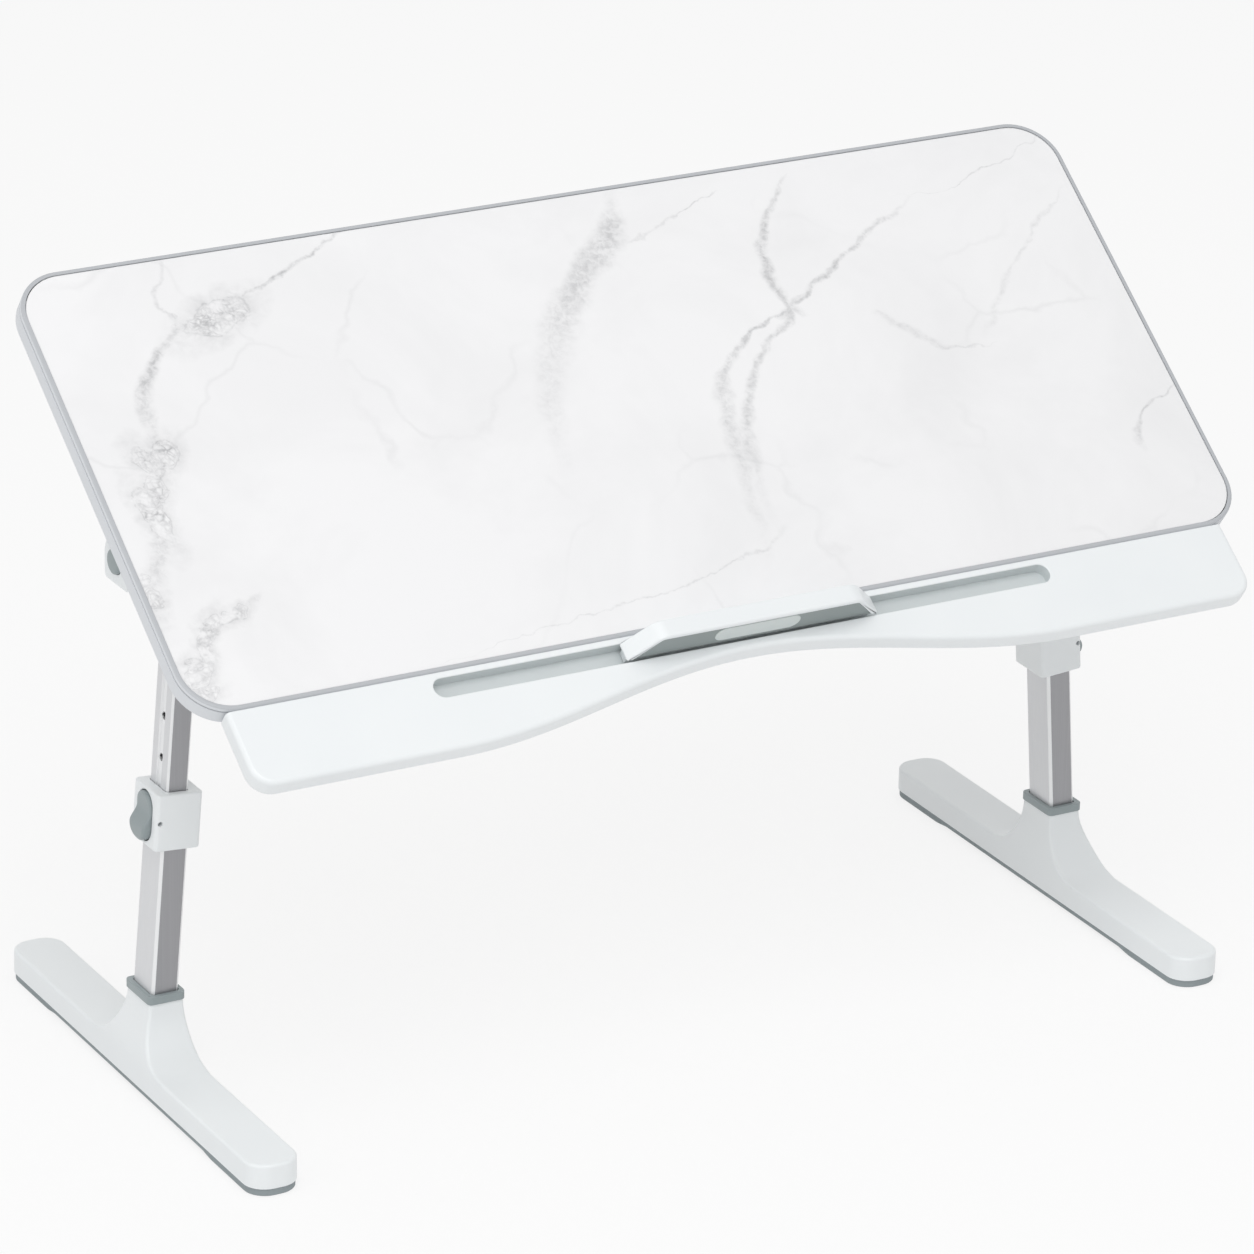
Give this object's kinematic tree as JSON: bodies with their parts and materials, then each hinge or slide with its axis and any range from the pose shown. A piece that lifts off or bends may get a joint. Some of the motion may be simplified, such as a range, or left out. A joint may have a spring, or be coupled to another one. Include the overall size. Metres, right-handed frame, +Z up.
{
  "type": "laptop bed table",
  "caption": "Folding bed table for a laptop: a tilting marbled top with a wrist rest and a sliding stopper, on telescoping legs with T-shaped feet.",
  "frame": {"origin": "on the floor under the middle of the space that the table takes with its top tilted", "axes": "+X to the right of someone sitting at the table, +Y away from them, +Z up"},
  "size_m": [0.6, 0.299, 0.4013],
  "materials": {
    "board": "pressed wood fibre, cut edge",
    "marble": "satin melamine laminate printed with soft grey veins",
    "edge_band": "extruded PVC, satin grey",
    "white_abs": "moulded ABS, satin cool white",
    "grey_abs": "moulded ABS, satin blue grey",
    "soft_pad": "soft elastomer, matt grey",
    "pale_inlay": "moulded ABS, pale grey, bare",
    "aluminium": "extruded, satin anodised",
    "zinc_steel": "pressed sheet, zinc plated",
    "steel": "turned and zinc plated",
    "spring_steel": "drawn spring wire",
    "nylon": "moulded nylon, natural",
    "grey_rubber": "moulded elastomer, matt grey"
  },
  "bodies": {
    "table": {"board_core": "board", "marble_laminate": "marble", "edge_band": "edge_band", "wrist_rest": "white_abs", "wrist_rest_screw_1": "steel", "wrist_rest_screw_2": "steel", "wrist_rest_screw_3": "steel", "wrist_rest_screw_4": "steel", "wrist_rest_screw_5": "steel", "hinge_plate_left": "zinc_steel", "fold_pin_left": "steel", "hinge_screw_left_1": "steel", "hinge_screw_left_2": "steel", "hinge_screw_left_3": "steel", "hinge_screw_left_4": "steel", "hinge_plate_right": "zinc_steel", "fold_pin_right": "steel", "hinge_screw_right_1": "steel", "hinge_screw_right_2": "steel", "hinge_screw_right_3": "steel", "hinge_screw_right_4": "steel"},
    "stopper": {"stopper_frame": "white_abs", "stopper_pad": "soft_pad", "stopper_inlay": "pale_inlay"},
    "bracket_left": {"fold_bracket_left": "white_abs"},
    "tilt_lock_left": {"tilt_button_left": "grey_abs", "tilt_axle_left": "steel"},
    "upper_leg_left": {"leg_head_left": "white_abs", "head_cover_left": "white_abs", "tilt_spring_left": "spring_steel", "upper_tube_left": "aluminium", "head_pin_left": "steel", "tube_glide_left": "nylon"},
    "lower_leg_left": {"lower_tube_left": "aluminium", "clamp_housing_left": "white_abs", "lever_pin_left": "steel", "lever_spring_left": "spring_steel", "foot_shell_left": "white_abs", "foot_collar_left": "grey_abs", "foot_sole_left": "grey_rubber"},
    "lever_left": {"height_lever_left": "grey_abs"},
    "pin_left": {"lock_pin_left": "steel"},
    "bracket_right": {"fold_bracket_right": "white_abs"},
    "tilt_lock_right": {"tilt_button_right": "grey_abs", "tilt_axle_right": "steel"},
    "upper_leg_right": {"leg_head_right": "white_abs", "head_cover_right": "white_abs", "tilt_spring_right": "spring_steel", "upper_tube_right": "aluminium", "head_pin_right": "steel", "tube_glide_right": "nylon"},
    "lower_leg_right": {"lower_tube_right": "aluminium", "clamp_housing_right": "white_abs", "lever_pin_right": "steel", "lever_spring_right": "spring_steel", "foot_shell_right": "white_abs", "foot_collar_right": "grey_abs", "foot_sole_right": "grey_rubber"},
    "lever_right": {"height_lever_right": "grey_abs"},
    "pin_right": {"lock_pin_right": "steel"}
  },
  "joints": [
    {"name": "stopper_slide", "type": "slide", "parent": "table", "child": "stopper", "axis": [1, 0, 0], "range_m": [-0.1, 0.1]},
    {"name": "fold_left", "type": "hinge", "parent": "table", "child": "bracket_left", "pos_m": [-0.242, -0.00827, 0.29918], "axis": [0, -0.809, -0.5878], "range_deg": [0, 92]},
    {"name": "tilt_left", "type": "hinge", "parent": "bracket_left", "child": "upper_leg_left", "pos_m": [-0.248, 0.00349, 0.283], "axis": [1, 0, 0], "range_deg": [0, 36]},
    {"name": "tilt_button_left", "type": "slide", "parent": "bracket_left", "child": "tilt_lock_left", "axis": [1, 0, 0], "range_m": [0, 0.002], "stiffness_N_per_m": 2000, "springref_m": -0.003, "deforming": ["tilt_spring_left"]},
    {"name": "height_left", "type": "slide", "parent": "upper_leg_left", "child": "lower_leg_left", "axis": [0.0732, 0, 0.9973], "range_m": [0, 0.088]},
    {"name": "lever_left", "type": "hinge", "parent": "lower_leg_left", "child": "lever_left", "pos_m": [-0.26905, 0.00349, 0.14517], "axis": [0, -1, 0], "range_deg": [0, 12], "stiffness_Nm_per_rad": 0.3, "springref_deg": -11.46, "deforming": ["lever_spring_left"]},
    {"name": "lock_pin_left", "type": "slide", "parent": "lower_leg_left", "child": "pin_left", "axis": [-0.9973, 0, 0.0732], "range_m": [0, 0.00168]},
    {"name": "fold_right", "type": "hinge", "parent": "table", "child": "bracket_right", "pos_m": [0.242, -0.00827, 0.29918], "axis": [0, 0.809, 0.5878], "range_deg": [0, 92]},
    {"name": "tilt_right", "type": "hinge", "parent": "bracket_right", "child": "upper_leg_right", "pos_m": [0.248, 0.00349, 0.283], "axis": [1, 0, 0], "range_deg": [0, 36]},
    {"name": "tilt_button_right", "type": "slide", "parent": "bracket_right", "child": "tilt_lock_right", "axis": [-1, 0, 0], "range_m": [0, 0.002], "stiffness_N_per_m": 2000, "springref_m": -0.003, "deforming": ["tilt_spring_right"]},
    {"name": "height_right", "type": "slide", "parent": "upper_leg_right", "child": "lower_leg_right", "axis": [-0.0732, 0, 0.9973], "range_m": [0, 0.088]},
    {"name": "lever_right", "type": "hinge", "parent": "lower_leg_right", "child": "lever_right", "pos_m": [0.26905, 0.00349, 0.14517], "axis": [0, 1, 0], "range_deg": [0, 12], "stiffness_Nm_per_rad": 0.3, "springref_deg": -11.46, "deforming": ["lever_spring_right"]},
    {"name": "lock_pin_right", "type": "slide", "parent": "lower_leg_right", "child": "pin_right", "axis": [0.9973, 0, 0.0732], "range_m": [0, 0.00168]}
  ],
  "couplings": [
    {"joint": "lever_left", "follows": "lock_pin_left", "rad_per_m": 125},
    {"joint": "lever_right", "follows": "lock_pin_right", "rad_per_m": 125},
    {"joint": "tilt_right", "follows": "tilt_left", "ratio": 1}
  ]
}
